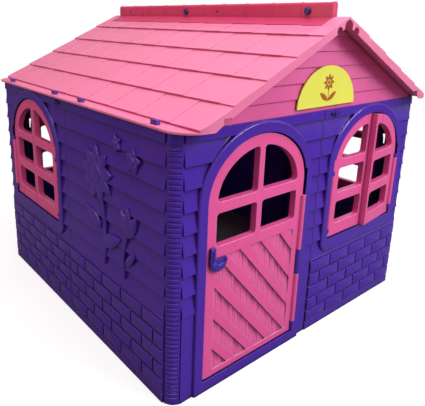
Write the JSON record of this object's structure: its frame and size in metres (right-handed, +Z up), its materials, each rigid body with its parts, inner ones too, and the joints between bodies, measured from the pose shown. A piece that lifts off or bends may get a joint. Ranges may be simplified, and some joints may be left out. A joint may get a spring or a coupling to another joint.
{
  "type": "playhouse",
  "caption": "Moulded plastic playhouse: panelled walls, tiled gable roof, arched door with a turning latch, and four arched windows with hinged shutters.",
  "frame": {"origin": "centre of the footprint on the ground", "axes": "+Z up, door wall faces -Y, +X to the right seen from the front, ridge along Y"},
  "size_m": [1.305, 1.392, 1.2],
  "materials": {
    "purple_plastic": "satin moulded polypropylene, violet",
    "dark_purple_plastic": "satin moulded plastic, dark violet",
    "pink_plastic": "satin moulded polypropylene, rose",
    "roof_pink_plastic": "satin moulded polypropylene, light rose",
    "yellow_plastic": "satin moulded plastic, yellow",
    "steel": "zinc plated"
  },
  "bodies": {
    "house": {"corner_post_front_left": "purple_plastic", "corner_post_front_right": "purple_plastic", "corner_post_back_right": "purple_plastic", "corner_post_back_left": "purple_plastic", "wall_front_door": "purple_plastic", "wall_front_window": "purple_plastic", "wall_right_window": "purple_plastic", "wall_right_plain": "purple_plastic", "wall_back_plain": "purple_plastic", "wall_back_window": "purple_plastic", "wall_left_window": "purple_plastic", "wall_left_plain": "purple_plastic", "panel_bolts": "dark_purple_plastic", "panel_hooks": "dark_purple_plastic", "door_hinge_pin": "dark_purple_plastic", "shutter_pins": "dark_purple_plastic", "gable_front": "pink_plastic", "gable_back": "pink_plastic", "gable_plate": "yellow_plastic", "roof_right": "roof_pink_plastic", "roof_left": "roof_pink_plastic", "ridge_cap_front": "pink_plastic", "ridge_cap_back": "pink_plastic", "ridge_bolts": "dark_purple_plastic"},
    "door": {"door_leaf": "pink_plastic"},
    "latch": {"latch_handle": "dark_purple_plastic", "latch_tongue": "dark_purple_plastic", "latch_screw": "steel"},
    "shutter_front_left": {"shutter_front_left": "pink_plastic"},
    "shutter_front_right": {"shutter_front_right": "pink_plastic"},
    "shutter_right_left": {"shutter_right_left": "pink_plastic"},
    "shutter_right_right": {"shutter_right_right": "pink_plastic"},
    "shutter_back_left": {"shutter_back_left": "pink_plastic"},
    "shutter_back_right": {"shutter_back_right": "pink_plastic"},
    "shutter_left_left": {"shutter_left_left": "pink_plastic"},
    "shutter_left_right": {"shutter_left_right": "pink_plastic"}
  },
  "joints": [
    {"name": "door_hinge", "type": "hinge", "parent": "house", "child": "door", "pos_m": [-0.0829, -0.642, 0.3], "axis": [0, 0, 1], "range_deg": [0, 100]},
    {"name": "latch_turn", "type": "hinge", "parent": "door", "child": "latch", "pos_m": [-0.4939, -0.636, 0.44], "axis": [0, 1, 0], "range_deg": [0, 90]},
    {"name": "shutter_front_left_hinge", "type": "hinge", "parent": "house", "child": "shutter_front_left", "pos_m": [0.0829, -0.642, 0.5], "axis": [0, 0, 1], "range_deg": [-100, 0]},
    {"name": "shutter_front_right_hinge", "type": "hinge", "parent": "house", "child": "shutter_front_right", "pos_m": [0.5189, -0.642, 0.5], "axis": [0, 0, 1], "range_deg": [-6, 94]},
    {"name": "shutter_right_left_hinge", "type": "hinge", "parent": "house", "child": "shutter_right_left", "pos_m": [0.642, -0.5189, 0.5], "axis": [0, 0, 1], "range_deg": [-100, 0]},
    {"name": "shutter_right_right_hinge", "type": "hinge", "parent": "house", "child": "shutter_right_right", "pos_m": [0.642, -0.0829, 0.5], "axis": [0, 0, 1], "range_deg": [0, 100]},
    {"name": "shutter_back_left_hinge", "type": "hinge", "parent": "house", "child": "shutter_back_left", "pos_m": [-0.0829, 0.642, 0.5], "axis": [0, 0, 1], "range_deg": [-100, 0]},
    {"name": "shutter_back_right_hinge", "type": "hinge", "parent": "house", "child": "shutter_back_right", "pos_m": [-0.5189, 0.642, 0.5], "axis": [0, 0, 1], "range_deg": [0, 100]},
    {"name": "shutter_left_left_hinge", "type": "hinge", "parent": "house", "child": "shutter_left_left", "pos_m": [-0.642, 0.5189, 0.5], "axis": [0, 0, 1], "range_deg": [-100, 0]},
    {"name": "shutter_left_right_hinge", "type": "hinge", "parent": "house", "child": "shutter_left_right", "pos_m": [-0.642, 0.0829, 0.5], "axis": [0, 0, 1], "range_deg": [0, 100]}
  ]
}
